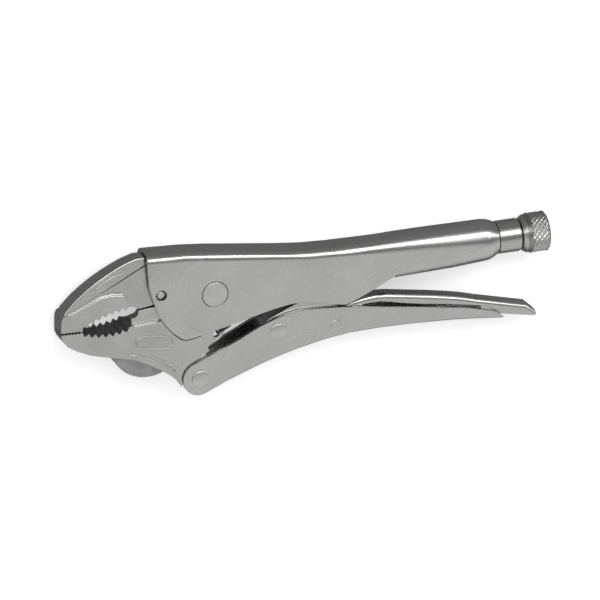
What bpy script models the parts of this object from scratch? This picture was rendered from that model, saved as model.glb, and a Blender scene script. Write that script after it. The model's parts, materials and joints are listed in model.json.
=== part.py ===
"""Locking pliers with curved jaws, about 250 mm long, as an assembly of separate pieces.

The pliers lie on their side. X runs along the adjusting screw from the nose to the knob, Y points from the
lower handle to the spine of the body, and Z runs through the thickness, up. All the sizes below are in
millimetres, measured from the main pivot in the middle plane; PIVOT puts that point in the world.
"""

import math

import bmesh
import bpy
from mathutils import Matrix, Vector

MM = 0.001
PIVOT = (-46.3, 14.18, 9.75)  # the main pivot in the world: the model rests on Z = 0, centred on X and Y

# pivots and axes
HANDLE_PIVOT = (-7.5, -43.7)  # lower handle on the lower jaw
LINK_PIVOT = (32.1, -24.9)  # toggle link on the lower handle
LINK_END = (92.5, 4.7)  # where the link meets the screw's tip
RELEASE_PIVOT = (61.5, -26.4)
JAW_PIN = (-26.9, 3.2)
SPRING_HOLE = (2.4, -23.8)
SPRING_ANCHOR = (46.0, -1.5)
SCREW_Y = 4.7
GAP = 0.35  # between neighbouring pieces

# stamped body
BODY_SHEET = 2.4
CHEEK = 8.25  # half width outside
BODY_REAR = 143.8
# x, top, bottom, half width, bend radius; the open front runs past its trimmed edge
BODY_STATIONS = (
    (-36.0, 24.1, -30.0, 8.25, 4.0),
    (-15.0, 22.9, -30.0, 8.25, 4.0),
    (-2.0, 21.5, -30.0, 8.25, 4.0),
    (10.0, 19.8, -30.0, 8.25, 4.0),
    (22.5, 18.0, -30.0, 8.25, 4.0),
    (35.0, 16.2, -30.0, 8.25, 4.0),
    (47.5, 14.8, -30.0, 8.25, 4.2),
    (60.0, 14.2, -30.0, 8.25, 4.5),
    (72.0, 14.0, -30.0, 8.3, 5.0),
    (80.0, 14.0, -14.0, 8.35, 5.4),
    (86.0, 14.1, -9.6, 8.45, 5.8),
    (92.0, 14.3, -6.7, 8.55, 6.1),
    (106.0, 14.5, -6.5, 8.9, 7.0),
    (120.0, 14.7, -6.5, 9.2, 8.3),
    (131.0, 14.8, -6.1, 9.4, 9.2),
    (137.2, 14.7, -5.7, 9.4, 9.3),
    (139.6, 14.3, -5.3, 9.25, 9.15),
    (141.5, 13.6, -4.4, 8.8, 8.7),
    (143.0, 12.8, -3.5, 8.1, 8.0),
    (BODY_REAR, 12.6, -3.2, 7.85, 7.75),
)
NECK_BORE = 6.3
BODY_EDGE = (  # cheek edge, from the front of the spine down the jaw opening and back to the tube
    (-33.0, 26.0), (-33.6, 20.5), (-32.8, 7.3), (-30.4, -1.4), (-28.0, -7.5), (-25.0, -12.6),
    (-20.6, -17.8), (-17.2, -20.8), (-14.6, -21.6), (-11.0, -21.2), (-1.9, -19.2), (4.6, -18.0),
    (13.7, -15.8), (23.3, -13.5), (30.0, -12.1), (37.5, -10.9), (44.5, -10.6), (54.0, -12.6),
    (63.2, -14.9), (65.6, -15.2), (68.0, -14.6), (75.0, -11.7), (81.8, -8.6), (86.4, -6.5), (91.3, -4.3),
)

# jaws
NOSE = -76.9
JAW_HALF = 5.55  # between the cheeks
SHANK_HALF = 4.35  # between the sides of the lower handle
LUG_HALF = 1.1  # the thin lug that holds the spring
EAR_RADIUS = 11.0
TOOTH_PITCH = 3.15
TOOTH_DEPTH = 1.95
TIP_PITCH = 1.6
TIP_DEPTH = 0.5
BITE_START = -66.3  # where the flat nose ends and the curved bite starts
UPPER_BITE = ((-66.3, -10.5), (-55.0, -4.7), (-44.6, -2.3))
LOWER_BITE = ((-66.3, -10.85), (-53.0, -12.7), (-41.9, -10.3))
THROAT = (-40.7, -4.6)
THROAT_RADIUS = 2.8
SIDE_HALF = 8.05  # lower jaw where it is flush with the cheeks
SHOULDER_X = -40.3
NOSE_HALF = 5.5
HEEL_CENTRE = (-33.0, -20.7)
HEEL_RADIUS = 18.9
HEEL_HALF = 4.4

# lower handle
HANDLE_HALF = 6.4
HANDLE_SHEET = 1.7
HANDLE_BEND = 1.9
BOSS_RADIUS = 8.6  # round the handle pivot
HANDLE_BASE = (  # outer face of the channel's base
    (-19.0, -58.4), (-5.4, -52.4), (-0.9, -50.4), (5.7, -47.4), (13.3, -44.6), (23.4, -41.0), (33.6, -37.9),
    (43.7, -35.4), (55.6, -33.0), (68.6, -31.4), (85.0, -31.1), (101.1, -31.5), (119.3, -32.5),
    (132.6, -33.7), (146.6, -35.3),
)
HANDLE_EDGE = (  # edge of the sides, from the rear end forward to the boss
    (145.8, -35.0), (145.3, -34.2), (144.0, -32.6), (142.4, -31.4), (140.2, -30.4), (135.3, -29.0),
    (127.1, -27.0), (116.1, -25.1), (105.2, -23.3), (94.2, -21.5), (83.3, -19.7), (66.2, -17.2), (52.6, -16.0),
    (42.6, -15.7), (37.1, -16.3), (30.4, -18.2), (22.8, -21.0), (12.7, -26.0), (5.1, -29.4), (-1.5, -31.9),
)
BASE_START = 10.0
BASE_NOTCH = 137.5  # the base stops short of the rear end, which leaves room for the lever's tail

# release lever
LEVER_HALF = 4.35
LEVER_SHEET = 1.3
LEVER_TOP = (
    (49.8, -27.0), (52.0, -24.9), (57.5, -21.4), (63.5, -18.3), (69.5, -15.8), (75.5, -14.7), (82.0, -14.2),
    (88.0, -14.7), (98.0, -16.4), (109.0, -18.3), (120.0, -20.5), (126.0, -21.9), (133.4, -24.1), (141.6, -26.3),
    (149.8, -28.4), (158.0, -30.5),
)
LEVER_EDGE = (
    (162.6, -35.0), (162.4, -36.3), (161.4, -36.9), (146.0, -33.6), (141.5, -32.2), (138.6, -28.6),
    (127.8, -26.2), (116.8, -24.2), (105.9, -22.5), (95.0, -20.4), (89.5, -19.0), (84.0, -17.9), (76.0, -18.0),
    (69.5, -20.3), (67.5, -24.0), (66.5, -29.4), (57.0, -29.4), (50.5, -28.6),
)

# rivets, screw and knob
MAIN_RIVET = 6.35
SMALL_RIVET = 4.3
SMALL_SHANK = 3.0
SCREW_RADIUS = 4.6
SCREW_TIP = 101.4
BUSH_END = 155.3
KNOB_FACE = 155.9
KNOB_END = 169.5
KNOB_RADIUS = 9.75

ROUND = 40  # sides of a large round piece


def collection(name):
    group = bpy.data.collections.new(name)
    bpy.context.scene.collection.children.link(group)
    return group


def material(name, colour, roughness, metallic=1.0):
    finish = bpy.data.materials.new(name)
    finish.use_nodes = True
    shader = finish.node_tree.nodes["Principled BSDF"]
    shader.inputs["Base Color"].default_value = (*colour, 1.0)
    shader.inputs["Roughness"].default_value = roughness
    shader.inputs["Metallic"].default_value = metallic
    return finish


def place(x, y, z=0.0):
    """World position, in metres, of a point given in millimetres from the main pivot."""
    return Vector((x + PIVOT[0], y + PIVOT[1], z + PIVOT[2])) * MM


def link_mesh(name, bm, group):
    bmesh.ops.recalc_face_normals(bm, faces=bm.faces)
    mesh = bpy.data.meshes.new(name)
    bm.to_mesh(mesh)
    bm.free()
    piece = bpy.data.objects.new(name, mesh)
    group.objects.link(piece)
    return piece


def arc(centre, radius, start, end, steps):
    """Points on an arc, from the start angle to the end angle in degrees."""
    points = []
    for i in range(steps + 1):
        angle = math.radians(start + (end - start) * i / steps)
        points.append((centre[0] + radius * math.cos(angle), centre[1] + radius * math.sin(angle)))
    return points


def arc_through(first, middle, last, steps):
    """Points on the circle through three points, from the first to the last."""
    (ax, ay), (bx, by), (cx, cy) = first, middle, last
    d = 2 * (ax * (by - cy) + bx * (cy - ay) + cx * (ay - by))
    ux = ((ax * ax + ay * ay) * (by - cy) + (bx * bx + by * by) * (cy - ay) + (cx * cx + cy * cy) * (ay - by)) / d
    uy = ((ax * ax + ay * ay) * (cx - bx) + (bx * bx + by * by) * (ax - cx) + (cx * cx + cy * cy) * (bx - ax)) / d
    radius = math.hypot(ax - ux, ay - uy)
    start = math.degrees(math.atan2(ay - uy, ax - ux))
    end = math.degrees(math.atan2(cy - uy, cx - ux))
    end = start + (end - start + 180) % 360 - 180
    return arc((ux, uy), radius, start, end, steps)


def teeth(curve, depth):
    """A toothed edge: every second point of the curve is pushed square to it by the tooth depth."""
    points = []
    for i, (x, y) in enumerate(curve):
        if i % 2 and i < len(curve) - 1:
            dx = curve[i + 1][0] - curve[i - 1][0]
            dy = curve[i + 1][1] - curve[i - 1][1]
            length = math.hypot(dx, dy)
            x, y = x - dy / length * depth, y + dx / length * depth
        points.append((x, y))
    return points


def plate(name, outline, half, group):
    """A flat plate across the middle plane: a filled 2D curve, extruded, then made a welded mesh."""
    curve = bpy.data.curves.new(name, "CURVE")
    curve.dimensions = "2D"
    curve.fill_mode = "BOTH"
    curve.extrude = half * MM
    spline = curve.splines.new("POLY")
    spline.points.add(len(outline) - 1)
    for point, (x, y) in zip(spline.points, outline):
        point.co = (*(place(x, y).xy), 0.0, 1.0)
    spline.use_cyclic_u = True
    drawn = bpy.data.objects.new(name + "_outline", curve)
    drawn.location.z = PIVOT[2] * MM
    group.objects.link(drawn)
    bpy.context.view_layer.update()
    evaluated = drawn.evaluated_get(bpy.context.evaluated_depsgraph_get())
    mesh = bpy.data.meshes.new_from_object(evaluated)
    bm = bmesh.new()
    bm.from_mesh(mesh)
    bmesh.ops.transform(bm, matrix=drawn.matrix_world, verts=bm.verts)
    bmesh.ops.remove_doubles(bm, verts=bm.verts, dist=1e-6)
    bmesh.ops.dissolve_limit(bm, angle_limit=math.radians(1), verts=bm.verts, edges=bm.edges)
    bpy.data.objects.remove(drawn)
    bpy.data.curves.remove(curve)
    return link_mesh(name, bm, group)


def set_half(piece, half_at):
    """Gives a plate its thickness: half_at(x, y) is the height of its faces over the middle plane."""
    for vertex in piece.data.vertices:
        x = vertex.co.x / MM - PIVOT[0]
        y = vertex.co.y / MM - PIVOT[1]
        side = 1 if vertex.co.z / MM > PIVOT[2] else -1
        vertex.co.z = (PIVOT[2] + side * half_at(x, y)) * MM


def split_at(piece, x):
    """Adds an edge across a plate at x, where its thickness changes slope."""
    bm = bmesh.new()
    bm.from_mesh(piece.data)
    geometry = bm.verts[:] + bm.edges[:] + bm.faces[:]
    bmesh.ops.bisect_plane(bm, geom=geometry, plane_co=place(x, 0), plane_no=(1, 0, 0))
    bm.to_mesh(piece.data)
    bm.free()


def rounded_ring(bm, station):
    """One cross-section of a tube along X: a rectangle with round corners."""
    x, top, bottom, half, radius = station
    ring = []
    corners = (
        (top - radius, half - radius, 0), (top - radius, radius - half, 90),
        (bottom + radius, radius - half, 180), (bottom + radius, half - radius, 270),
    )
    for y, z, start in corners:
        for dz, dy in arc((0.0, 0.0), radius, start, start + 90, 6):
            ring.append(bm.verts.new(place(x, y + dy, z + dz)))
    return ring


def loft(name, stations, group):
    """A closed tube through unlike rounded sections."""
    bm = bmesh.new()
    rings = [rounded_ring(bm, station) for station in stations]
    for first, second in zip(rings, rings[1:]):
        for i in range(len(first)):
            j = (i + 1) % len(first)
            bm.faces.new((first[i], first[j], second[j], second[i]))
    bm.faces.new(rings[0])
    bm.faces.new(rings[-1])
    return link_mesh(name, bm, group)


def turned(name, profile, centre, group, axis="Z", sides=ROUND):
    """A turned piece: radius and height pairs, from the top down, revolved by a Screw modifier.

    A profile that starts off the axis is a ring, and is closed.
    """
    bm = bmesh.new()
    points = [bm.verts.new((radius * MM, 0.0, height * MM)) for radius, height in profile]
    for first, second in zip(points, points[1:]):
        bm.edges.new((first, second))
    if profile[0][0] > 0:
        bm.edges.new((points[-1], points[0]))
    mesh = bpy.data.meshes.new(name)
    bm.to_mesh(mesh)
    bm.free()
    piece = bpy.data.objects.new(name, mesh)
    group.objects.link(piece)
    screw = piece.modifiers.new("Turn", "SCREW")
    screw.axis = "Z"
    screw.steps = sides
    screw.render_steps = sides
    screw.use_merge_vertices = True
    screw.merge_threshold = 1e-5
    piece.location = place(*centre)
    if axis == "X":
        piece.rotation_euler = (0.0, math.pi / 2, 0.0)
    return piece


def pin_cutter(name, centre, radius, half, group):
    """A cylinder cutter across the middle plane."""
    bm = bmesh.new()
    bmesh.ops.create_cone(
        bm, cap_ends=True, segments=ROUND, radius1=radius * MM, radius2=radius * MM, depth=2 * half * MM,
        matrix=Matrix.Translation(place(*centre)),
    )
    return link_mesh(name, bm, group)


def box(name, low, high, group):
    bm = bmesh.new()
    bmesh.ops.create_cube(bm, size=1.0)
    lower, upper = place(*low), place(*high)
    bmesh.ops.scale(bm, vec=upper - lower, verts=bm.verts)
    bmesh.ops.translate(bm, vec=(lower + upper) / 2, verts=bm.verts)
    return link_mesh(name, bm, group)


def combine(piece, tool, operation="DIFFERENCE"):
    step = piece.modifiers.new(tool.name, "BOOLEAN")
    step.object = tool
    step.operation = operation
    tool.hide_render = True
    tool.display_type = "WIRE"
    return piece


def set_origin(piece, x, y):
    """Moves the piece's origin onto its joint's axis and leaves its mesh where it is."""
    shift = place(x, y) - piece.location
    piece.data.transform(Matrix.Translation(-shift))
    piece.location = place(x, y)


def finish(piece, look):
    piece.data.materials.append(look)
    return piece


def inner(stations, sheet, open_until, floor):
    """The hollow inside a lofted channel: its stations drawn in by the sheet's thickness."""
    hollow = []
    for x, top, bottom, half, radius in stations:
        low = floor if x <= open_until else bottom + sheet
        hollow.append((x, top - sheet, low, half - sheet, max(radius - sheet, 1.2)))
    return hollow


def make_body(parts, cutters, look):
    body = loft("body", BODY_STATIONS, parts)
    stations = inner(BODY_STATIONS[:-5], BODY_SHEET, 90.0, -40.0)
    stations[0] = (-40.0, *stations[0][1:])
    bore = (SCREW_Y + NECK_BORE, SCREW_Y - NECK_BORE, NECK_BORE, NECK_BORE - 0.1)
    stations += [(138.5, *bore), (BODY_REAR + 2, *bore)]
    combine(body, loft("body_hollow", stations, cutters))
    below = list(BODY_EDGE) + [(91.8, -6.0), (91.8, -45.0), (-60.0, -45.0), (-60.0, 26.0)]
    combine(body, plate("body_trim", below, 20.0, cutters))
    combine(body, box("body_seam", (88.0, -12.0, -1.1), (150.0, SCREW_Y - 5.0, 1.1), cutters))
    combine(body, pin_cutter("main_hole", (0, 0), MAIN_RIVET + 0.25, 12, cutters))
    combine(body, pin_cutter("jaw_pin_hole", JAW_PIN, 2.75, 12, cutters))
    return finish(body, look)


def upper_bite():
    return arc_through(*UPPER_BITE, round(2 * (UPPER_BITE[2][0] - UPPER_BITE[0][0]) / TOOTH_PITCH))


def lower_bite():
    return arc_through(*LOWER_BITE, round(2 * (LOWER_BITE[2][0] - LOWER_BITE[0][0]) / TOOTH_PITCH))


def tip_edge(y):
    """The fine teeth at the nose."""
    count = round(2 * (BITE_START - NOSE) / TIP_PITCH)
    return [(NOSE + (BITE_START - NOSE) * i / count, y) for i in range(count)]


def make_upper_jaw(parts, cutters, look):
    web = (
        (-75.9, -6.0), (-75.9, -3.4), (-75.0, -0.9), (-73.6, 0.9), (-69.1, 5.5), (-63.9, 9.7), (-58.8, 13.2),
        (-53.8, 16.1), (-48.7, 18.7), (-43.6, 20.9), (-38.0, 22.6), (-34.0, 22.5), (-34.0, 20.6),
        (-30.0, 20.4), (-30.0, -2.3), (-37.0, -3.3), (-44.5, -1.2), (-47.0, 1.0), (-58.0, 0.0), (-69.0, -5.0),
    )
    jaw = plate("upper_jaw", web, 5.0, parts)
    set_half(jaw, lambda x, y: 4.85 - 0.035 * y)
    bite = teeth(upper_bite(), TOOTH_DEPTH)
    ridge = [(-43.0, 0.6), (-43.0, 2.2), (-45.6, 5.9), (-51.2, 6.6), (-56.8, 5.9), (-63.0, 3.1), (-70.0, -0.3)]
    tips = teeth(tip_edge(-10.5), TIP_DEPTH)
    pad = plate("upper_pad", tips + bite + ridge + [(-75.7, -1.8), (NOSE + 0.3, -4.0)], 6.0, cutters)
    set_half(pad, lambda x, y: NOSE_HALF + (x - NOSE) * 0.067)
    combine(jaw, pad, "UNION")
    tail = [(-31.0, 20.2), (-12.5, 19.0), (-8.0, 18.5)]
    tail += arc((0.0, 0.0), EAR_RADIUS + GAP + 0.1, 118, 182, 14)
    tail += [(-29.6, -2.75), (-30.4, 2.0)]
    combine(jaw, plate("upper_tail", tail, JAW_HALF, cutters), "UNION")
    combine(jaw, throat(cutters))
    combine(jaw, pin_cutter("upper_pin_hole", JAW_PIN, 2.35, 12, cutters))
    return finish(jaw, look)


def throat(cutters):
    """The round throat behind the teeth, relieved towards the lower face."""
    name = "throat"
    if name in bpy.data.objects:
        return bpy.data.objects[name]
    profile = ((0.0, 12.0), (THROAT_RADIUS, 12.0), (THROAT_RADIUS, 5.2), (THROAT_RADIUS + 4.6, -8.5), (0.0, -8.5))
    return turned(name, profile, (*THROAT, 0.0), cutters, sides=32)


def make_lower_jaw(parts, cutters, look):
    bite = teeth(lower_bite(), -TOOTH_DEPTH)
    tips = teeth(tip_edge(-10.85), -TIP_DEPTH)
    rim = [(-13.8, -35.0), (-16.2, -37.4), (-17.4, -40.6), (-17.5, -43.6), (-16.8, -46.4)]
    outline = tips + bite + [
        (-40.3, -11.2), (-27.0, -10.2), (-25.4, -12.8), (-20.9, -18.1), (-17.4, -21.2), (-14.6, -22.0),
        (-10.9, -21.6), (-7.2, -20.75), (-3.2, -28.9),
    ] + rim + [
        (-18.8, -43.0), (-22.5, -39.4), (-26.7, -36.2), (-33.3, -31.9), (-40.8, -28.2), (-51.8, -25.8),
        (-57.5, -24.6), (-62.9, -23.1), (-68.7, -20.6), (-73.5, -17.7), (-75.9, -14.8), (-76.7, -12.6),
    ]
    jaw = plate("lower_jaw", outline, 6.0, parts)
    split_at(jaw, SHOULDER_X)
    slope = (SIDE_HALF - NOSE_HALF) / (SHOULDER_X - NOSE)
    set_half(jaw, lambda x, y: min(SIDE_HALF, NOSE_HALF + (x - NOSE) * slope))
    ear = [(-41.5, -13.0), (-41.5, -4.4), (-30.0, -3.2), (-12.0, -1.0)]
    ear += arc((0.0, 0.0), EAR_RADIUS, 184, -50, 32)
    ear += [(3.5, -15.0), (0.2, -20.0), (-0.6, -25.0), (-4.0, -29.5), (-22.0, -34.0), (-36.0, -20.0)]
    combine(jaw, plate("lower_ear", ear, JAW_HALF, cutters), "UNION")
    shank = [(-6.0, -25.0)] + arc(HANDLE_PIVOT, 7.6, 45, -150, 22) + [(-21.0, -38.0), (-24.0, -30.0)]
    combine(jaw, plate("lower_shank", shank, SHANK_HALF, cutters), "UNION")
    lug = [(-6.0, -10.0), (5.0, -12.0), (7.2, -20.5), (6.2, -24.6), (3.6, -27.2), (-3.0, -30.5), (-7.0, -34.0)]
    combine(jaw, plate("spring_lug", lug, LUG_HALF, cutters), "UNION")
    heel = arc(HEEL_CENTRE, HEEL_RADIUS, 180, 360, 30)
    combine(jaw, plate("heel", heel, HEEL_HALF, cutters), "UNION")
    combine(jaw, throat(cutters))
    combine(jaw, pin_cutter("jaw_bore", (0, 0), 5.3, 12, cutters))
    combine(jaw, pin_cutter("handle_bore", HANDLE_PIVOT, SMALL_SHANK + 0.3, 12, cutters))
    combine(jaw, pin_cutter("spring_hole", SPRING_HOLE, 1.7, 12, cutters))
    set_origin(jaw, 0.0, 0.0)
    return finish(jaw, look)


def make_lower_handle(parts, cutters, look):
    stations = [(x, 0.0, y, HANDLE_HALF, HANDLE_BEND) for x, y in HANDLE_BASE]
    handle = loft("lower_handle", stations, parts)
    stations = [(x, 6.0, y, half, radius) for x, top, y, half, radius in stations]
    combine(handle, loft("handle_hollow", inner(stations, HANDLE_SHEET, -30.0, 0.0), cutters))
    inside = HANDLE_HALF - HANDLE_SHEET
    combine(handle, box("base_opening", (-25.0, -60.0, -inside), (BASE_START, 4.0, inside), cutters))
    combine(handle, box("base_notch", (BASE_NOTCH, -45.0, -inside), (150.0, -30.0, inside), cutters))
    outline = list(HANDLE_EDGE) + [(-12.2, -36.4), (-14.2, -38.1)]
    outline += arc(HANDLE_PIVOT, BOSS_RADIUS, 151, 292, 26) + [(-0.9, -61.0), (145.8, -60.0)]
    combine(handle, plate("handle_outline", outline, 12.0, cutters), "INTERSECT")
    for name, centre in (("handle_rivet_hole", HANDLE_PIVOT), ("link_rivet_hole", LINK_PIVOT)):
        combine(handle, pin_cutter(name, centre, SMALL_SHANK + 0.3, 12, cutters))
    combine(handle, pin_cutter("release_pin_seats", RELEASE_PIVOT, 2.5, HANDLE_HALF - 0.8, cutters))
    set_origin(handle, *HANDLE_PIVOT)
    return finish(handle, look)


def make_toggle_link(parts, cutters, look):
    along = math.degrees(math.atan2(LINK_END[1] - LINK_PIVOT[1], LINK_END[0] - LINK_PIVOT[0]))
    outline = arc(LINK_PIVOT, 7.3, along + 88, along + 272, 22) + arc(LINK_END, 4.6, along - 90, along + 90, 14)
    link = plate("toggle_link", outline, SHANK_HALF, parts)
    combine(link, pin_cutter("link_bore", LINK_PIVOT, SMALL_SHANK + 0.3, 12, cutters))
    set_origin(link, *LINK_PIVOT)
    return finish(link, look)


def make_release_lever(parts, cutters, look):
    lever = plate("release_lever", list(LEVER_TOP) + list(LEVER_EDGE), LEVER_HALF, parts)
    below = [(40.0, -28.0)] + [(x, y - LEVER_SHEET) for x, y in LEVER_TOP[:-1]]
    below += [(157.3, -30.5 - LEVER_SHEET), (161.0, -35.5), (161.0, -45.0), (40.0, -45.0)]
    combine(lever, plate("lever_hollow", below, LEVER_HALF - LEVER_SHEET, cutters))
    combine(lever, pin_cutter("lever_bore", RELEASE_PIVOT, 2.45, 12, cutters))
    set_origin(lever, *RELEASE_PIVOT)
    return finish(lever, look)


def rivet_profile(head, shank, under, top):
    """Half of a domed rivet, from the crown to the middle of its shank."""
    crown = [(head * math.sin(math.radians(a)), under + (top - under) * math.cos(math.radians(a)))
             for a in (0, 20, 40, 60, 78, 90)]
    return crown + [(shank, under)]


def mirrored(half_profile):
    """Both ends of a profile that is the same above and below the middle plane."""
    return half_profile + [(radius, -height) for radius, height in reversed(half_profile)]


def make_rivets(parts, look):
    main = [(0.0, 8.6), (MAIN_RIVET - 0.5, 8.6), (MAIN_RIVET, 8.3), (MAIN_RIVET, JAW_HALF + GAP), (5.0, JAW_HALF + GAP)]
    finish(turned("main_rivet", mirrored(main), (0, 0, 0), parts), look)
    pin = [(0.0, 7.3), (1.5, 7.3), (2.0, 6.9)]
    finish(turned("jaw_pin", mirrored(pin), (*JAW_PIN, 0.0), parts, sides=24), look)
    small = mirrored(rivet_profile(SMALL_RIVET, SMALL_SHANK, HANDLE_HALF + 0.15, HANDLE_HALF + 1.05))
    for name, centre in (("handle_rivet", HANDLE_PIVOT), ("link_rivet", LINK_PIVOT)):
        finish(turned(name, small, (*centre, 0.0), parts, sides=32), look)
    seat = HANDLE_HALF - 1.1
    pin = [(0.0, seat), (1.8, seat), (2.15, seat - 0.3)]
    finish(turned("release_pin", mirrored(pin), (*RELEASE_PIVOT, 0.0), parts, sides=24), look)


def make_screw(parts, looks):
    """The bush, the threaded rod and the knob, turned about the screw's axis."""
    axis = (0.0, SCREW_Y, 0.0)
    bush = [(5.0, BUSH_END), (7.4, BUSH_END), (8.0, BUSH_END - 0.6), (8.0, BODY_REAR + 0.8),
            (7.6, BODY_REAR + 0.35), (NECK_BORE - 0.3, BODY_REAR + 0.35), (NECK_BORE - 0.3, 124.0), (5.0, 124.0)]
    finish(turned("threaded_bush", bush, axis, parts, axis="X"), looks["plated"])
    rod = [(0.0, 165.5), (SCREW_RADIUS, 165.5), (SCREW_RADIUS, SCREW_TIP + 1.2), (3.2, SCREW_TIP), (0.0, SCREW_TIP)]
    finish(turned("adjusting_screw", rod, axis, parts, axis="X", sides=28), looks["screw"])
    knob = [(0.0, KNOB_END), (3.5, KNOB_END - 0.1), (6.5, KNOB_END - 0.35), (8.7, KNOB_END - 0.8),
            (KNOB_RADIUS, KNOB_END - 1.9), (KNOB_RADIUS, KNOB_FACE + 4.3), (9.5, KNOB_FACE + 3.0),
            (8.9, KNOB_FACE + 1.8), (8.1, KNOB_FACE + 0.7), (7.3, KNOB_FACE), (SCREW_RADIUS + 0.3, KNOB_FACE),
            (SCREW_RADIUS + 0.3, 165.8), (0.0, 165.8)]
    finish(turned("knurled_knob", knob, axis, parts, axis="X", sides=36), looks["screw"])


def coil_points():
    """The spring's wire: a hook through the jaw's lug, a straight leg, a coil, and a hook through the hanger."""
    start, end = Vector((*SPRING_HOLE, 0.0)), Vector((*SPRING_ANCHOR, 0.0))
    along = (end - start).normalized()
    side = Vector((-along.y, along.x, 0.0))
    up = Vector((0.0, 0.0, 1.0))
    radius, turns, lead_in, lead_out = 2.6, 8, 18.0, 7.5
    length = (end - start).length - lead_in - lead_out
    points = [start + along * 2.6 - up * 2.0, start + along * 1.3 - up * 1.9, start + along * 0.9 - up * 1.1,
              start + along * 0.9 + up * 1.1, start + along * 1.5 + up * 1.9, start + along * 6.5 + up * 1.9,
              start + along * (lead_in - 2.0) - up * 1.6]
    for i in range(turns * 12 + 1):
        angle = math.radians(-90 + 30 * i)
        offset = up * (radius * math.sin(angle)) + side * (radius * math.cos(angle))
        points.append(start + along * (lead_in + length * i / (turns * 12)) + offset)
    points += [end - along * 4.5 - up * 1.4, end - along * 2.6, end + Vector((0.6, 0.9, 0.0)),
               end + Vector((2.4, 1.8, 0.0)), end + Vector((3.2, 3.8, 0.0))]
    return points


def make_spring(parts, cutters, look):
    wire = bpy.data.curves.new("spring", "CURVE")
    wire.dimensions = "3D"
    wire.bevel_depth = 0.55 * MM
    wire.bevel_resolution = 2
    wire.use_fill_caps = True
    spline = wire.splines.new("POLY")
    points = coil_points()
    spline.points.add(len(points) - 1)
    for point, position in zip(spline.points, points):
        point.co = (*place(*position), 1.0)
    spring = bpy.data.objects.new("spring", wire)
    parts.objects.link(spring)
    finish(spring, look)
    x, y = SPRING_ANCHOR
    strip = [(x - 0.8, y - 1.8), (x + 0.8, y - 1.8), (x + 0.8, y + 11.4), (x + 8.0, y + 11.0),
             (x + 8.0, y + 12.6), (x - 0.8, y + 13.2)]
    hanger = plate("spring_hanger", strip, 2.4, parts)
    combine(hanger, box("hanger_hole", (x - 3.0, y - 0.6, -1.1), (x + 3.0, y + 1.9, 1.1), cutters))
    finish(hanger, look)


def build():
    for old in list(bpy.data.objects):
        bpy.data.objects.remove(old)
    parts = collection("locking_pliers")
    cutters = collection("cutters")
    looks = {
        "plated": material("satin_nickel_sheet", (0.62, 0.62, 0.61), 0.34),
        "forged": material("satin_nickel_forging", (0.58, 0.58, 0.57), 0.38),
        "rivet": material("nickel_rivet", (0.66, 0.66, 0.65), 0.28),
        "screw": material("nickel_screw", (0.55, 0.55, 0.54), 0.32),
        "spring": material("spring_steel", (0.30, 0.30, 0.31), 0.4),
    }
    make_body(parts, cutters, looks["plated"])
    make_upper_jaw(parts, cutters, looks["forged"])
    make_lower_jaw(parts, cutters, looks["forged"])
    make_lower_handle(parts, cutters, looks["plated"])
    make_toggle_link(parts, cutters, looks["forged"])
    make_release_lever(parts, cutters, looks["plated"])
    make_rivets(parts, looks["rivet"])
    make_screw(parts, looks)
    make_spring(parts, cutters, looks["spring"])


build()
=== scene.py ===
# %% [markdown]
# # Locking pliers in Blender
#
# The tool lies on its side. Its solids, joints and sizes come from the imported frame, so this lesson only
# adds what the eye wants: rounded edges, cut marks, a knurled knob, turned rivets and worn nickel plate.
# Each step says what the piece is on the real tool, how it could be made, and why it is made this way.

import json
import math

import bmesh
import bpy
from mathutils import Matrix, Vector

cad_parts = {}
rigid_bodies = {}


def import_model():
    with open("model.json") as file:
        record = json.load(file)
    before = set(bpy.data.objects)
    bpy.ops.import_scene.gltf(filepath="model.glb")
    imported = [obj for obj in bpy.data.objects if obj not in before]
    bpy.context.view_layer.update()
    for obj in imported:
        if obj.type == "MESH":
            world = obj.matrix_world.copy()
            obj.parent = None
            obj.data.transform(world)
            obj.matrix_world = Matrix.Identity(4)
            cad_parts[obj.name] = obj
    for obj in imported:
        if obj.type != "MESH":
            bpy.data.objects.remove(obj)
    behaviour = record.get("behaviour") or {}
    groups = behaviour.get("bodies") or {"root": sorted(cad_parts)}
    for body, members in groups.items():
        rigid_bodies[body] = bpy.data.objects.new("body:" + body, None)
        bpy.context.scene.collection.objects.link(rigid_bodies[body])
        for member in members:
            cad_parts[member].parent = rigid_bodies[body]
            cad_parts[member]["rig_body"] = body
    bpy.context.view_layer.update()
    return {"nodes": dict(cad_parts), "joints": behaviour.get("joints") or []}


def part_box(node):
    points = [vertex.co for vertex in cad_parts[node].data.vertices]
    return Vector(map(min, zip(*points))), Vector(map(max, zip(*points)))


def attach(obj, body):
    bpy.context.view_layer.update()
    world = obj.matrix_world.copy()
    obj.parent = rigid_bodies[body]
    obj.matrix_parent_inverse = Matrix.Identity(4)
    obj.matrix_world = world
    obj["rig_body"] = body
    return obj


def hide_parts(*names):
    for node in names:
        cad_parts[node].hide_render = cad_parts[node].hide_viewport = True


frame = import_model()

# %% [markdown]
# ## Places
#
# Every place on the tool is measured in millimetres from the main pivot, as a toolmaker's drawing would
# do. The pivot is the jaw hinge of the record, so nothing has to be fitted by eye.

# %% Measure from the main pivot
MM = 0.001
joint_places = {joint["name"]: Vector(joint["pos_m"]) for joint in frame["joints"] if "pos_m" in joint}
PIVOT = joint_places["jaw_hinge"]


def at(x, y, z=0.0):
    """A point given in millimetres from the main pivot: along the screw, towards the spine, and up."""
    return PIVOT + Vector((x, y, z)) * MM


# %% [markdown]
# ## Shared surface effects
#
# Satin nickel on steel is never even. It has a fine grain from the blasting under the plate, slow clouds
# where the plate is thicker, and faint scratches from handling. The three are noises of different sizes, so
# one node group holds them and every finish sets its own amounts. The group puts out a colour, a roughness
# and a height, and the shader itself stays in each material.

# %% The plate's grain as a node group


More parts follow.
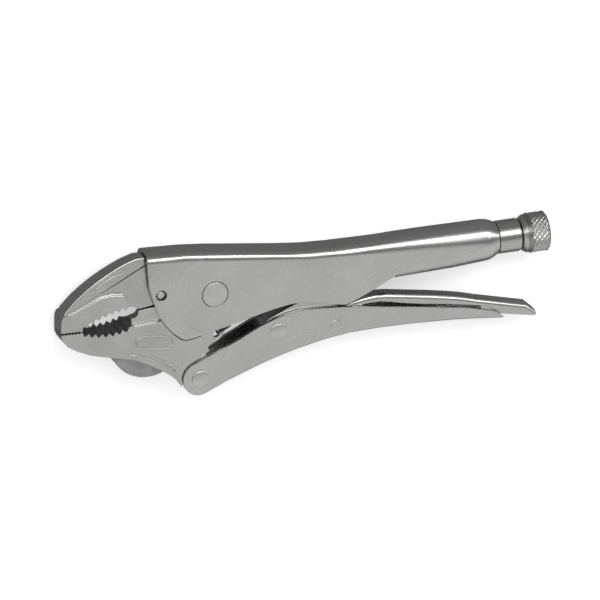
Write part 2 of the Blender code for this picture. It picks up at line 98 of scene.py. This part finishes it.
def new_group(name, inputs, outputs):
    group = bpy.data.node_groups.new(name, "ShaderNodeTree")
    for socket, kind, value in inputs:
        made = group.interface.new_socket(name=socket, in_out="INPUT", socket_type=kind)
        made.default_value = value
    for socket, kind in outputs:
        group.interface.new_socket(name=socket, in_out="OUTPUT", socket_type=kind)
    start = group.nodes.new("NodeGroupInput")
    end = group.nodes.new("NodeGroupOutput")
    return group, start, end


def noise(tree, vector, scale, detail, roughness=0.5):
    node = tree.nodes.new("ShaderNodeTexNoise")
    node.inputs["Detail"].default_value = detail
    node.inputs["Roughness"].default_value = roughness
    if isinstance(scale, (int, float)):
        node.inputs["Scale"].default_value = scale
    else:
        tree.links.new(scale, node.inputs["Scale"])
    tree.links.new(vector, node.inputs["Vector"])
    return node.outputs["Fac"]


def maths(tree, operation, a, b, clamp=False):
    node = tree.nodes.new("ShaderNodeMath")
    node.operation = operation
    node.use_clamp = clamp
    for slot, value in enumerate((a, b)):
        if isinstance(value, (int, float)):
            node.inputs[slot].default_value = value
        else:
            tree.links.new(value, node.inputs[slot])
    return node.outputs[0]


def remap(tree, value, low, high, to_low, to_high):
    node = tree.nodes.new("ShaderNodeMapRange")
    node.clamp = True
    for name, given in (("From Min", low), ("From Max", high), ("To Min", to_low), ("To Max", to_high)):
        node.inputs[name].default_value = given
    tree.links.new(value, node.inputs["Value"])
    return node.outputs["Result"]


def mix_colour(tree, factor, a, b, kind="MIX"):
    node = tree.nodes.new("ShaderNodeMix")
    node.data_type = "RGBA"
    node.blend_type = kind
    for slot, value in (("Factor", factor), ("A", a), ("B", b)):
        socket = [s for s in node.inputs if s.name == slot and s.type in ("VALUE", "RGBA")]
        socket = socket[0] if slot == "Factor" else [s for s in socket if s.type == "RGBA"][0]
        if isinstance(value, (int, float, tuple)):
            socket.default_value = value
        else:
            tree.links.new(value, socket)
    return [s for s in node.outputs if s.type == "RGBA"][0]


def build_plate_group():
    """Plated metal: object coordinates in, colour, roughness and height out."""
    group, start, end = new_group(
        "plated_metal",
        (
            ("Colour", "NodeSocketColor", (0.6, 0.6, 0.6, 1.0)),
            ("Stain", "NodeSocketColor", (0.3, 0.29, 0.27, 1.0)),
            ("Vector", "NodeSocketVector", (0.0, 0.0, 0.0)),
            ("Grain size", "NodeSocketFloat", 2600.0),
            ("Cloud size", "NodeSocketFloat", 55.0),
            ("Roughness", "NodeSocketFloat", 0.34),
            ("Stain amount", "NodeSocketFloat", 0.3),
            ("Scratch amount", "NodeSocketFloat", 0.3),
        ),
        (("Colour", "NodeSocketColor"), ("Roughness", "NodeSocketFloat"), ("Height", "NodeSocketFloat")),
    )
    vector = start.outputs["Vector"]
    grain = noise(group, vector, start.outputs["Grain size"], 3.0, 0.6)
    coarse = noise(group, vector, 620.0, 4.0, 0.55)
    clouds = noise(group, vector, start.outputs["Cloud size"], 5.0, 0.6)
    stretch = group.nodes.new("ShaderNodeMapping")
    stretch.inputs["Rotation"].default_value = (0.0, 0.0, math.radians(8))
    stretch.inputs["Scale"].default_value = (60.0, 1900.0, 1900.0)
    group.links.new(vector, stretch.inputs["Vector"])
    scratch = noise(group, stretch.outputs["Vector"], 1.0, 2.0, 0.5)
    scratch = remap(group, scratch, 0.62, 0.76, 0.0, 1.0)
    scratch = maths(group, "MULTIPLY", scratch, start.outputs["Scratch amount"])
    cloud_mask = remap(group, clouds, 0.35, 0.72, 0.0, 1.0)
    stain = maths(group, "MULTIPLY", cloud_mask, start.outputs["Stain amount"])
    speck = remap(group, coarse, 0.66, 0.74, 0.0, 0.5)
    stain = maths(group, "ADD", stain, maths(group, "MULTIPLY", speck, start.outputs["Stain amount"]), True)
    colour = mix_colour(group, stain, start.outputs["Colour"], start.outputs["Stain"])
    tint = remap(group, grain, 0.3, 0.7, 0.9, 1.06)
    shade = group.nodes.new("ShaderNodeCombineColor")
    for channel in ("Red", "Green", "Blue"):
        group.links.new(tint, shade.inputs[channel])
    colour = mix_colour(group, 1.0, colour, shade.outputs["Color"], "MULTIPLY")
    group.links.new(colour, end.inputs["Colour"])
    rough = maths(group, "ADD", start.outputs["Roughness"], remap(group, clouds, 0.3, 0.7, -0.03, 0.05))
    rough = maths(group, "ADD", rough, remap(group, coarse, 0.3, 0.7, -0.02, 0.03))
    rough = maths(group, "SUBTRACT", rough, maths(group, "MULTIPLY", scratch, 0.1), True)
    group.links.new(rough, end.inputs["Roughness"])
    height = maths(group, "MULTIPLY", grain, 0.5)
    height = maths(group, "ADD", height, maths(group, "MULTIPLY", coarse, 0.35))
    height = maths(group, "SUBTRACT", height, maths(group, "MULTIPLY", scratch, 0.3))
    group.links.new(height, end.inputs["Height"])
    return group


plated_metal = build_plate_group()
print("node group", plated_metal.name, "has", len(plated_metal.nodes), "nodes")

# %% [markdown]
# ## Finishes
#
# The sheet parts, the forged jaws, the rivets and the turned pieces were all plated in the same bath, but
# they were made differently, so they differ in grain and gloss. One function makes each finish from the
# shared group. The Principled shader stays in the material, where the export can read it.

# %% Make the finishes


def finish(name, colour, stain, grain, clouds, roughness, stained, scratched, depth):
    """A plated steel finish; depth is the height of its grain in millimetres."""
    made = bpy.data.materials.new(name)
    made.use_nodes = True
    tree = made.node_tree
    shader = tree.nodes["Principled BSDF"]
    place = tree.nodes.new("ShaderNodeTexCoord")
    effect = tree.nodes.new("ShaderNodeGroup")
    effect.node_tree = plated_metal
    for socket, value in (
        ("Colour", (*colour, 1.0)), ("Stain", (*stain, 1.0)), ("Grain size", grain), ("Cloud size", clouds),
        ("Roughness", roughness), ("Stain amount", stained), ("Scratch amount", scratched),
    ):
        effect.inputs[socket].default_value = value
    tree.links.new(place.outputs["Object"], effect.inputs["Vector"])
    tree.links.new(effect.outputs["Colour"], shader.inputs["Base Color"])
    tree.links.new(effect.outputs["Roughness"], shader.inputs["Roughness"])
    bump = tree.nodes.new("ShaderNodeBump")
    bump.inputs["Strength"].default_value = 1.0
    bump.inputs["Distance"].default_value = depth * MM
    tree.links.new(effect.outputs["Height"], bump.inputs["Height"])
    tree.links.new(bump.outputs["Normal"], shader.inputs["Normal"])
    shader.inputs["Metallic"].default_value = 1.0
    return made


LOOKS = {
    "plated_sheet": finish(
        "satin_nickel_sheet", (0.66, 0.66, 0.655), (0.44, 0.43, 0.42), 1700, 48, 0.24, 0.22, 0.35, 0.034),
    "plated_forging": finish(
        "satin_nickel_forging", (0.64, 0.64, 0.635), (0.40, 0.39, 0.38), 1500, 70, 0.28, 0.28, 0.2, 0.034),
    "rivet_metal": finish(
        "nickel_rivet", (0.70, 0.70, 0.69), (0.46, 0.45, 0.44), 3000, 120, 0.27, 0.2, 0.3, 0.010),
    "screw_metal": finish(
        "turned_nickel", (0.60, 0.60, 0.59), (0.38, 0.37, 0.36), 2800, 90, 0.26, 0.25, 0.3, 0.010),
    "spring_steel": finish(
        "oiled_wire", (0.22, 0.22, 0.225), (0.08, 0.07, 0.06), 3200, 150, 0.33, 0.4, 0.2, 0.008),
    # Painted shade: a darker finish for the lower jaw's tooth sides and recessed heel, where shade falls
    # between the jaws and under the flange.
    "painted_shade_cut": finish(
        "tooth_heel_painted_shade", (0.50, 0.50, 0.50), (0.16, 0.16, 0.155), 1500, 200, 0.42, 0.5, 0.3, 0.03),
}


def add_pressed_dish(look, centre, radius, depth):
    """Adds to a finish the faint step of a round dish pressed around the main rivet, on its front side."""
    made = look.copy()
    made.name = "satin_nickel_pressed"
    tree = made.node_tree
    bump = [node for node in tree.nodes if node.type == "BUMP"][0]
    effect = [node for node in tree.nodes if node.type == "GROUP"][0]
    coordinates = [node for node in tree.nodes if node.type == "TEX_COORD"][0].outputs["Object"]
    parts = tree.nodes.new("ShaderNodeSeparateXYZ")
    tree.links.new(coordinates, parts.inputs["Vector"])
    x = maths(tree, "SUBTRACT", parts.outputs["X"], centre.x)
    y = maths(tree, "SUBTRACT", parts.outputs["Y"], centre.y)
    squares = maths(tree, "ADD", maths(tree, "MULTIPLY", x, x), maths(tree, "MULTIPLY", y, y))
    away = maths(tree, "SQRT", squares, 0.0)
    step = remap(tree, away, (radius - 0.5) * MM, (radius + 0.5) * MM, 0.0, 1.0)
    front = remap(tree, x, -9 * MM, -2 * MM, 1.0, 0.0)
    share = depth * MM / bump.inputs["Distance"].default_value
    dish = maths(tree, "MULTIPLY", maths(tree, "MULTIPLY", step, front), share)
    height = maths(tree, "ADD", effect.outputs["Height"], dish)
    tree.links.new(height, bump.inputs["Height"])
    return made


DISH_RADIUS = 19.5
DISH_DEPTH = 0.09
LOOKS["pressed_sheet"] = add_pressed_dish(LOOKS["plated_sheet"], PIVOT, DISH_RADIUS, DISH_DEPTH)
print("finishes:", ", ".join(sorted(m.name for m in LOOKS.values())))

# %% [markdown]
# ## From a solid to a finished piece
#
# The frame's meshes are loose triangles with razor edges. A stamped or forged part never has those: its
# edges are broken, and they catch the light as thin bright lines. A copy of the node is welded, its flat
# areas are joined, and its sharp edges get a small bevel. Weighted normals keep the flats flat.

# %% Helpers that finish a piece


def welded_copy(node):
    """A merged copy of a node's mesh, with its flat areas joined into single faces."""
    bm = bmesh.new()
    bm.from_mesh(frame["nodes"][node].data)
    bmesh.ops.remove_doubles(bm, verts=bm.verts, dist=0.012 * MM)
    bmesh.ops.dissolve_degenerate(bm, edges=bm.edges, dist=0.01 * MM)
    bmesh.ops.dissolve_limit(bm, angle_limit=math.radians(0.8), verts=bm.verts, edges=bm.edges)
    return bm


def to_piece(bm, name):
    mesh = bpy.data.meshes.new(name)
    bm.to_mesh(mesh)
    bm.free()
    piece = bpy.data.objects.new(name, mesh)
    bpy.context.scene.collection.objects.link(piece)
    return piece


def settle(piece):
    """Applies the piece's modifiers to its mesh."""
    graph = bpy.context.evaluated_depsgraph_get()
    mesh = bpy.data.meshes.new_from_object(piece.evaluated_get(graph), depsgraph=graph)
    piece.modifiers.clear()
    piece.data = mesh
    return piece


def read_edge(edge):
    """The flatter and the steeper of an edge's two face normals, and its middle from the main pivot."""
    first, second = (face.normal for face in edge.link_faces)
    flat, steep = (first, second) if abs(first.z) > abs(second.z) else (second, first)
    return flat, steep, (edge.verts[0].co + edge.verts[1].co) / 2 - PIVOT


def round_over(bm, chosen, width, segments):
    """Rounds the chosen edges of a bmesh by width millimetres."""
    edges = [edge for edge in bm.edges if len(edge.link_faces) == 2 and chosen(edge)]
    bmesh.ops.bevel(bm, geom=edges, offset=width * MM, offset_type="OFFSET", segments=segments, profile=0.5,
                    affect="EDGES", clamp_overlap=False, material=-1, miter_outer="ARC")
    print("rounded", len(edges), "edges by", width, "mm")
    return bm


def even_shading(piece, sharper_than=46):
    """Smooth shading that keeps the flats flat."""
    piece.data.shade_smooth()
    piece.data.set_sharp_from_angle(angle=math.radians(sharper_than))
    weighted = piece.modifiers.new("flat_flats", "WEIGHTED_NORMAL")
    weighted.mode = "FACE_AREA"
    weighted.keep_sharp = True
    return settle(piece)


def soften(piece, width, segments=2, sharper_than=32):
    """Breaks the sharp edges of a piece by width millimetres."""
    bevel = piece.modifiers.new("broken_edges", "BEVEL")
    bevel.width = width * MM
    bevel.segments = segments
    bevel.limit_method = "ANGLE"
    bevel.angle_limit = math.radians(sharper_than)
    bevel.use_clamp_overlap = False
    bevel.miter_outer = "MITER_ARC"
    settle(piece)
    return even_shading(piece)


def hand_over(piece, node, look):
    """Gives a piece its finish and its body, and lets it stand for its node."""
    piece.data.materials.clear()
    piece.data.materials.append(LOOKS[look])
    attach(piece, frame["nodes"][node]["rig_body"])
    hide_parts(node)
    return piece


# %% [markdown]
# ## Marks cut into the metal
#
# Grooves, a pressed outline and the half ring of a staked pin are all shallow round-bottomed cuts. A real
# toolmaker would run a ball cutter along a line. The same is done here: a tube follows the line, is made
# flatter, and is taken away from the piece with an exact Boolean.

# %% The ball cutter


def smooth_line(points, steps=6, closed=False):
    """Points along a Catmull-Rom curve through the given points."""
    points = [Vector(p) for p in points]
    count = len(points)
    line = []
    for i in range(count if closed else count - 1):
        if closed:
            a, b, c, d = (points[(i + k) % count] for k in (-1, 0, 1, 2))
        else:
            a, b, c, d = points[max(i - 1, 0)], points[i], points[i + 1], points[min(i + 2, count - 1)]
        for step in range(steps):
            t = step / steps
            line.append(0.5 * (2 * b + (c - a) * t + (2 * a - 5 * b + 4 * c - d) * t * t
                               + (3 * b - a - 3 * c + d) * t * t * t))
    if not closed:
        line.append(points[-1])
    return line


def ball_cutter(name, line, radius, flatten=1.0, closed=False):
    """A tube along a line of world points, its height scaled by flatten about the line's own height."""
    curve = bpy.data.curves.new(name, "CURVE")
    curve.dimensions = "3D"
    curve.bevel_depth = radius * MM
    curve.bevel_resolution = 3
    curve.use_fill_caps = not closed
    spline = curve.splines.new("POLY")
    spline.points.add(len(line) - 1)
    for point, place in zip(spline.points, line):
        point.co = (*place, 1.0)
    spline.use_cyclic_u = closed
    holder = bpy.data.objects.new(name, curve)
    bpy.context.scene.collection.objects.link(holder)
    graph = bpy.context.evaluated_depsgraph_get()
    mesh = bpy.data.meshes.new_from_object(holder.evaluated_get(graph), depsgraph=graph)
    bpy.data.objects.remove(holder)
    middle = sum(place.z for place in line) / len(line)
    mesh.transform(Matrix.Translation((0, 0, middle)) @ Matrix.Diagonal((1, 1, flatten, 1))
                   @ Matrix.Translation((0, 0, -middle)))
    bm = bmesh.new()
    bm.from_mesh(mesh)
    bmesh.ops.remove_doubles(bm, verts=bm.verts, dist=0.002 * MM)
    bmesh.ops.recalc_face_normals(bm, faces=bm.faces)
    return to_piece(bm, name)


def cut(piece, cutters):
    """Takes the cutters away from a piece, and removes them from the scene."""
    before = len(piece.data.vertices)
    for cutter in cutters:
        change = piece.modifiers.new("cut", "BOOLEAN")
        change.operation = "DIFFERENCE"
        change.object = cutter
        change.solver = "EXACT"
        settle(piece)
        bpy.data.objects.remove(cutter)
    bm = bmesh.new()
    bm.from_mesh(piece.data)
    bmesh.ops.dissolve_degenerate(bm, dist=0.008 * MM, edges=bm.edges[:])
    bmesh.ops.dissolve_limit(bm, angle_limit=math.radians(0.4), verts=bm.verts[:], edges=bm.edges[:])
    bm.to_mesh(piece.data)
    bm.free()
    print(f"{piece.name}: {before} points before the cuts, {len(piece.data.vertices)} after")
    return even_shading(piece, 30)


# %% [markdown]
# ## Stamped body
#
# The body is one sheet folded over into a channel and closed into a tube at the rear. It could be lofted
# again here, but the frame already holds its true sections, so a softened copy is enough. The shallow dish
# around the main rivet was pressed by the riveting tool.

# %% Finish the body
body = to_piece(welded_copy("body"), "stamped_body")
soften(body, 0.22, 2)
hand_over(body, "body", "pressed_sheet")

# %% [markdown]
# ## Upper jaw
#
# The upper jaw is a forging held in the body by a pin. Its web has a long thumb-shaped groove, and its
# edges are well rounded from tumbling, so they get a wider bevel than the sheet.

# %% Cut the groove and finish the upper jaw


def on_back(edge):
    """An edge between the upper jaw's cheek and its curved back."""
    flat, steep, middle = read_edge(edge)
    above = middle.y / MM > 1.3 + 0.62 * (middle.x / MM + 70) - 0.006 * (middle.x / MM + 70) ** 2
    return abs(flat.z) > 0.95 and steep.y > 0.3 and abs(steep.z) < 0.3 and above


def on_pad(edge):
    """An edge of the raised pad that carries the teeth, on its upper side."""
    flat, steep, middle = read_edge(edge)
    inside = -71 < middle.x / MM < -44 and -1.5 < middle.y / MM < 7.5
    return abs(flat.z) > 0.95 and steep.y > 0.5 and abs(steep.z) < 0.3 and inside and edge.is_convex


bm = welded_copy("upper_jaw")
round_over(bm, on_back, 0.9, 4)
round_over(bm, on_pad, 0.75, 4)
upper_jaw = soften(to_piece(bm, "upper_jaw_forging"), 0.16, 2, 40)
groove = smooth_line([at(-61.0, 9.0, 4.6), at(-57.3, 12.0, 4.6), at(-51.4, 15.2, 4.55),
                      at(-43.6, 17.5, 4.5)], 8)
cut(upper_jaw, [ball_cutter("groove", groove, 1.2, 0.6)])
hand_over(upper_jaw, "upper_jaw", "plated_forging")

# %% [markdown]
# ## Lower jaw
#
# The lower jaw is the largest forging. Two fine lines run along its flange, and an oval is pressed into
# its cheek, which stays blank here. All of them are the ball cutter's work.

# %% Cut the marks and finish the lower jaw
JAW_FACE = 8.15
OVAL_HALF_LENGTH = 9.3
OVAL_HALF_WIDTH = 3.3
lower_jaw = soften(to_piece(welded_copy("lower_jaw"), "lower_jaw_forging"), 0.16, 2)
flange = smooth_line([at(-51.2, -22.9, JAW_FACE), at(-40.7, -25.6, JAW_FACE),
                      at(-35.7, -27.8, JAW_FACE), at(-30.7, -30.3, JAW_FACE),
                      at(-25.7, -33.3, JAW_FACE), at(-20.7, -37.0, JAW_FACE)], 6)
inner_line = smooth_line([at(-34.2, -26.6, JAW_FACE), at(-30.2, -28.4, JAW_FACE), at(-25.6, -31.2, JAW_FACE),
                          at(-19.4, -35.6, JAW_FACE)], 6)
oval = []
tilt = math.radians(-8.6)
for turn in range(0, 360, 9):
    angle = math.radians(turn)
    x = OVAL_HALF_LENGTH * math.copysign(abs(math.cos(angle)) ** 0.62, math.cos(angle))
    y = OVAL_HALF_WIDTH * math.copysign(abs(math.sin(angle)) ** 0.8, math.sin(angle))
    oval.append(at(-30.9 + x * math.cos(tilt) - y * math.sin(tilt),
                   -20.4 + x * math.sin(tilt) + y * math.cos(tilt), JAW_FACE))
cut(lower_jaw, [ball_cutter("flange_line", flange, 0.6), ball_cutter("inner_line", inner_line, 0.42),
                ball_cutter("oval_line", oval, 0.42, closed=True)])
hand_over(lower_jaw, "lower_jaw", "plated_forging")
# The tooth sides and the recessed heel below get the darker finish, which is painted shade.
lower_jaw.data.materials.append(LOOKS["painted_shade_cut"])
shaded_faces = 0
for face in lower_jaw.data.polygons:
    place = (face.center - PIVOT) / MM
    heel = abs(place.z) < 4.45 and -53 < place.x < -18 and place.y < -22 and place.y < -0.35 * place.x - 36
    tooth = abs(place.z) < 7.9 and place.x < -40.5 and place.y > -15.5 and abs(face.normal.z) < 0.5
    if heel or tooth:
        face.material_index = 1
        shaded_faces += 1
print("faces given painted shade:", shaded_faces)

# %% [markdown]
# ## Handle, lever and link
#
# The lower handle is a folded channel, and the release lever is a smaller channel inside it. The release
# lever turns on a staked pin, which shows outside as a half ring. The link is a plain forged bar.

# %% Finish the handle, the lever and the link
handle = soften(to_piece(welded_copy("lower_handle"), "channel_handle"), 0.28, 2)
release = joint_places["release_hinge"]
RING_RADIUS = 3.0
HANDLE_FACE = 6.42
half_ring = []
for turn in range(62, 205, 8):
    angle = math.radians(turn)
    ring_x, ring_y = RING_RADIUS * math.cos(angle), RING_RADIUS * math.sin(angle)
    half_ring.append(release + Vector((ring_x, ring_y, HANDLE_FACE)) * MM)
cut(handle, [ball_cutter("half_ring", half_ring, 0.42)])
hand_over(handle, "lower_handle", "plated_sheet")


def on_lever_top(edge):
    """An edge between the lever's top and one of its sides, on the outside."""
    flat, steep, middle = read_edge(edge)
    return abs(flat.z) > 0.95 and steep.y > 0.5 and abs(middle.z) / MM > 4.2 and edge.is_convex


bm = welded_copy("release_lever")
round_over(bm, on_lever_top, 2.3, 6)
lever = soften(to_piece(bm, "release_lever_channel"), 0.2, 2, 40)
hand_over(lever, "release_lever", "plated_sheet")
link = soften(to_piece(welded_copy("toggle_link"), "toggle_link_bar"), 0.35, 3)
hand_over(link, "toggle_link", "plated_forging")

# %% [markdown]
# ## Turned pieces
#
# Rivets, the screw, its bush and the knob come off a lathe. A lathe's work is a profile turned about an
# axis, which is what the spin operator does, so the two small rivets and the knob start as a line of points
# from the axis outwards.

# %% A lathe


def on_lathe(profile, centre, axis, steps=72):
    """Turns a profile of (radius, height) points in millimetres about an axis through centre."""
    bm = bmesh.new()
    axis = Vector(axis).normalized()
    side = axis.orthogonal().normalized()
    points = [bm.verts.new(centre + (side * radius + axis * height) * MM) for radius, height in profile]
    edges = [bm.edges.new(pair) for pair in zip(points, points[1:])]
    bmesh.ops.spin(bm, geom=points + edges, cent=centre, axis=axis, angle=math.tau, steps=steps,
                   use_merge=True)
    bmesh.ops.remove_doubles(bm, verts=bm.verts, dist=0.002 * MM)
    bmesh.ops.recalc_face_normals(bm, faces=bm.faces)
    return bm


def turned(bm, name, angle=40):
    piece = to_piece(bm, name)
    piece.data.shade_smooth()
    piece.data.set_sharp_from_angle(angle=math.radians(angle))
    return piece


def dome(radius, base, top, corner, rings=6):
    """Profile points of a low dome with a rounded shoulder, from the middle outwards."""
    points = [(radius * 0.16 * i, top - (top - base) * 0.35 * (0.16 * i) ** 2) for i in range(6)]
    for i in range(rings):
        angle = math.pi / 2 * i / (rings - 1)
        points.append((radius - corner + corner * math.sin(angle),
                       base + (top - (top - base) * 0.35 - base) * math.cos(angle)))
    return points


# %% [markdown]
# ## Rivets
#
# A rivet head is a low dome with a rounded shoulder. Its shank passes through the pieces, and the shadow
# gap around the head tells the eye that it is a separate piece.

# %% Turn the rivets
RIVET_HEAD = 4.3
RIVET_SHANK = 3.0
RIVET_BASE = 6.5
RIVET_TOP = 7.4
for node, pivot in (("handle_rivet", "handle_hinge"), ("link_rivet", "link_hinge")):
    half = dome(RIVET_HEAD, RIVET_BASE, RIVET_TOP, 0.9)
    shank = [(RIVET_SHANK, RIVET_BASE), (RIVET_SHANK, -RIVET_BASE)]
    profile = half + shank + [(r, -z) for r, z in reversed(half)]
    piece = turned(on_lathe(profile, joint_places[pivot], (0, 0, 1)), node + "_head")
    hand_over(piece, node, "rivet_metal")

main = soften(to_piece(welded_copy("main_rivet"), "main_rivet_head"), 0.3, 3)
hand_over(main, "main_rivet", "rivet_metal")
for node in ("jaw_pin", "release_pin"):
    piece = soften(to_piece(welded_copy(node), node + "_turned"), 0.25, 2)
    hand_over(piece, node, "rivet_metal")

# %% [markdown]
# ## Screw, bush, spring
#
# These sit partly inside the body. Their solids are already turned or wound, so they only need broken
# edges and their finishes.

# %% Finish the inner pieces
for node, look in (
    ("adjusting_screw", "screw_metal"), ("threaded_bush", "screw_metal"), ("spring_hanger", "plated_sheet"),
    ("spring", "spring_steel"),
):
    piece = to_piece(welded_copy(node), node + "_finished")
    if node == "spring":
        piece.data.shade_smooth()
    else:
        soften(piece, 0.2, 2)
    hand_over(piece, node, look)

# %% [markdown]
# ## Knurled knob
#
# The knob is turned, then two knurling wheels press crossed spiral ridges into its rim. The pattern could
# be a bump, but its silhouette shows, so it is real geometry: the lathe makes a fine grid, and each point
# of the rim moves in where either spiral has its groove. One spiral is pressed deeper than the other, so
# its ridges stand out. Four fine rings run around the shoulder, and a blind bore takes the screw's end.

# %% Turn and knurl the knob
BORE_RADIUS = 4.9
RING_PITCH = 0.5
ROWS = 34
RIDGES = 25
KNURL_DEPTH = 0.75
knob_low, knob_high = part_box("knurled_knob")
knob_axis = Vector((0.0, (knob_low.y + knob_high.y) / 2, (knob_low.z + knob_high.z) / 2))
knob_face = Vector((knob_low.x, knob_axis.y, knob_axis.z))
length = (knob_high.x - knob_low.x) / MM
radius = (knob_high.z - knob_low.z) / 2 / MM
rim_start, rim_end = 4.3, length - 1.2
profile = [(7.3, 0.0), (7.75, 0.3), (8.1, 0.75), (8.5, 1.2), (8.8, 1.65), (9.05, 2.05)]
for ring in range(4):
    place = 2.15 + RING_PITCH * ring
    grow = 0.05 * ring
    profile += [(9.1 + grow, place), (8.65 + grow, place + 0.2), (9.1 + grow, place + 0.4)]
profile += [(9.3, 4.15)]
profile += [(radius - 0.02, rim_start + (rim_end - rim_start) * i / ROWS) for i in range(ROWS + 1)]
profile += [(9.2, length - 0.75), (8.6, length - 0.35), (7.0, length - 0.08), (4.0, length), (0.0, length)]
bore = (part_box("adjusting_screw")[1].x - knob_low.x) / MM + 0.25
print("bore for the screw", round(bore, 2), "mm deep")
profile = [(0.0, bore), (BORE_RADIUS, bore), (BORE_RADIUS, 0.0)] + profile
bm = on_lathe(profile, knob_face, (1, 0, 0), steps=300)
lean = RIDGES / radius
for vert in bm.verts:
    offset = vert.co - knob_face
    height = offset.x / MM
    if rim_start - 0.01 < height < rim_end + 0.01:
        angle = math.atan2(offset.z, offset.y)
        left = abs((RIDGES * angle + lean * height) / math.pi % 2 - 1)
        right = abs((RIDGES * angle - lean * height) / math.pi % 2 - 1)
        fade = min(1.0, (height - rim_start) / 0.4, (rim_end - height) / 0.4)
        depth = KNURL_DEPTH * max(0.0, fade) * (1 - min(left, 0.3 + 0.7 * right))
        across = Vector((0.0, offset.y, offset.z)).normalized()
        vert.co -= across * depth * MM
knob = turned(bm, "knurled_knob_rim", 60)
hand_over(knob, "knurled_knob", "screw_metal")

# %% [markdown]
# ## Floor
#
# Bright metal shows what it reflects, so the surroundings matter as much as the material. The floor is
# pale to the eye. Reflections see it as dark grey, as if the tool lay on a raised sheet over a dark
# table, which keeps the spine and the jaw's back from washing out.

# %% Floor
floor_bm = bmesh.new()
bmesh.ops.create_grid(floor_bm, x_segments=2, y_segments=2, size=3.0)
floor = to_piece(floor_bm, "pale_floor")
paper = bpy.data.materials.new("pale_paper")
paper.use_nodes = True
paper_shader = paper.node_tree.nodes["Principled BSDF"]
paper_shader.inputs["Base Color"].default_value = (0.9, 0.9, 0.9, 1.0)
paper_shader.inputs["Roughness"].default_value = 0.9
paper_shader.inputs["Emission Color"].default_value = (1.0, 1.0, 1.0, 1.0)
paper_shader.inputs["Emission Strength"].default_value = 0.5
gloss = paper.node_tree.nodes.new("ShaderNodeLightPath").outputs["Is Glossy Ray"]
dim = mix_colour(paper.node_tree, gloss, (0.9, 0.9, 0.9, 1.0), (0.12, 0.12, 0.12, 1.0))
paper.node_tree.links.new(dim, paper_shader.inputs["Base Color"])
glow = maths(paper.node_tree, "SUBTRACT", 0.5, maths(paper.node_tree, "MULTIPLY", gloss, 0.44))
paper.node_tree.links.new(glow, paper_shader.inputs["Emission Strength"])
floor.data.materials.append(paper)

# %% [markdown]
# ## Sky
#
# The light comes from a soft gradient that runs across the tool. It is even grey overhead and in front,
# for the flat cheeks. A bright strip halfway up behind the spine draws the long line along the bends,
# and the dark bands on both sides of it give that line its edges.

# %% Sky
sky = bpy.data.worlds.new("studio_sky")
sky.use_nodes = True
tree = sky.node_tree
bpy.context.scene.world = sky
direction = tree.nodes.new("ShaderNodeTexCoord")
parts = tree.nodes.new("ShaderNodeSeparateXYZ")
tree.links.new(direction.outputs["Generated"], parts.inputs["Vector"])
angle = maths(tree, "ARCTAN2", parts.outputs["Y"], parts.outputs["Z"])
turned_share = remap(tree, angle, -math.pi, math.pi, 0.0, 1.0)
ramp = tree.nodes.new("ShaderNodeValToRGB")
ramp.color_ramp.interpolation = "EASE"
SKY = ((-180, 0.7), (-90, 0.62), (-60, 0.66), (-25, 0.66), (-12, 0.5), (-3, 0.2), (20, 0.16),
       (30, 1.5), (38, 2.0), (48, 1.7), (60, 0.3), (80, 0.16), (110, 0.2), (180, 0.7))
for index, (degrees, value) in enumerate(SKY):
    place = (degrees + 180) / 360
    if index < 2:
        element = ramp.color_ramp.elements[index]
        element.position = place
    else:
        element = ramp.color_ramp.elements.new(place)
    element.color = (value, value, value, 1.0)
tree.links.new(turned_share, ramp.inputs["Fac"])
tree.links.new(ramp.outputs["Color"], tree.nodes["Background"].inputs["Color"])
tree.nodes["Background"].inputs["Strength"].default_value = 1.0

# %% [markdown]
# ## Soft box
#
# A single wide lamp above and behind the spine adds a little direction, so that the rounded edges and
# the knurl catch small highlights. It is weak, because the sky already does most of the work.

# %% Soft box


def soft_box(name, towards, distance, width, height, power):
    lamp = bpy.data.lights.new(name, "AREA")
    lamp.shape = "RECTANGLE"
    lamp.size = width
    lamp.size_y = height
    lamp.energy = power
    holder = bpy.data.objects.new(name, lamp)
    bpy.context.scene.collection.objects.link(holder)
    towards = Vector(towards).normalized()
    facing = towards.to_track_quat("Z", "Y").to_matrix().to_4x4()
    holder.matrix_world = Matrix.Translation(towards * distance) @ facing


soft_box("overhead_box", (0.15, 0.75, 0.8), 1.2, 1.2, 0.25, 3.0)

# %% [markdown]
# ## Camera
#
# A long lens far away has almost no perspective, so the camera is orthographic. It is set by three
# directions: across the picture, up the picture, and back along the line of sight.

# %% Camera
VIEW_WIDTH = 0.2868
sight = Vector((-0.2834, 0.3987, 0.8722)).normalized()
across = Vector((0.949, -0.0144, 0.3149))
upward = sight.cross(across).normalized()
across = upward.cross(sight)
camera_data = bpy.data.cameras.new("studio_camera")
camera_data.type = "ORTHO"
camera_data.ortho_scale = VIEW_WIDTH
camera = bpy.data.objects.new("studio_camera", camera_data)
bpy.context.scene.collection.objects.link(camera)
eye = at(0.0, 0.0, 8.3) + across * 0.04049 - upward * 0.00263 + sight * 0.9
camera.matrix_world = Matrix((
    (across.x, upward.x, sight.x, eye.x), (across.y, upward.y, sight.y, eye.y),
    (across.z, upward.z, sight.z, eye.z), (0.0, 0.0, 0.0, 1.0),
))
bpy.context.scene.camera = camera
bpy.context.scene.view_settings.view_transform = "Standard"
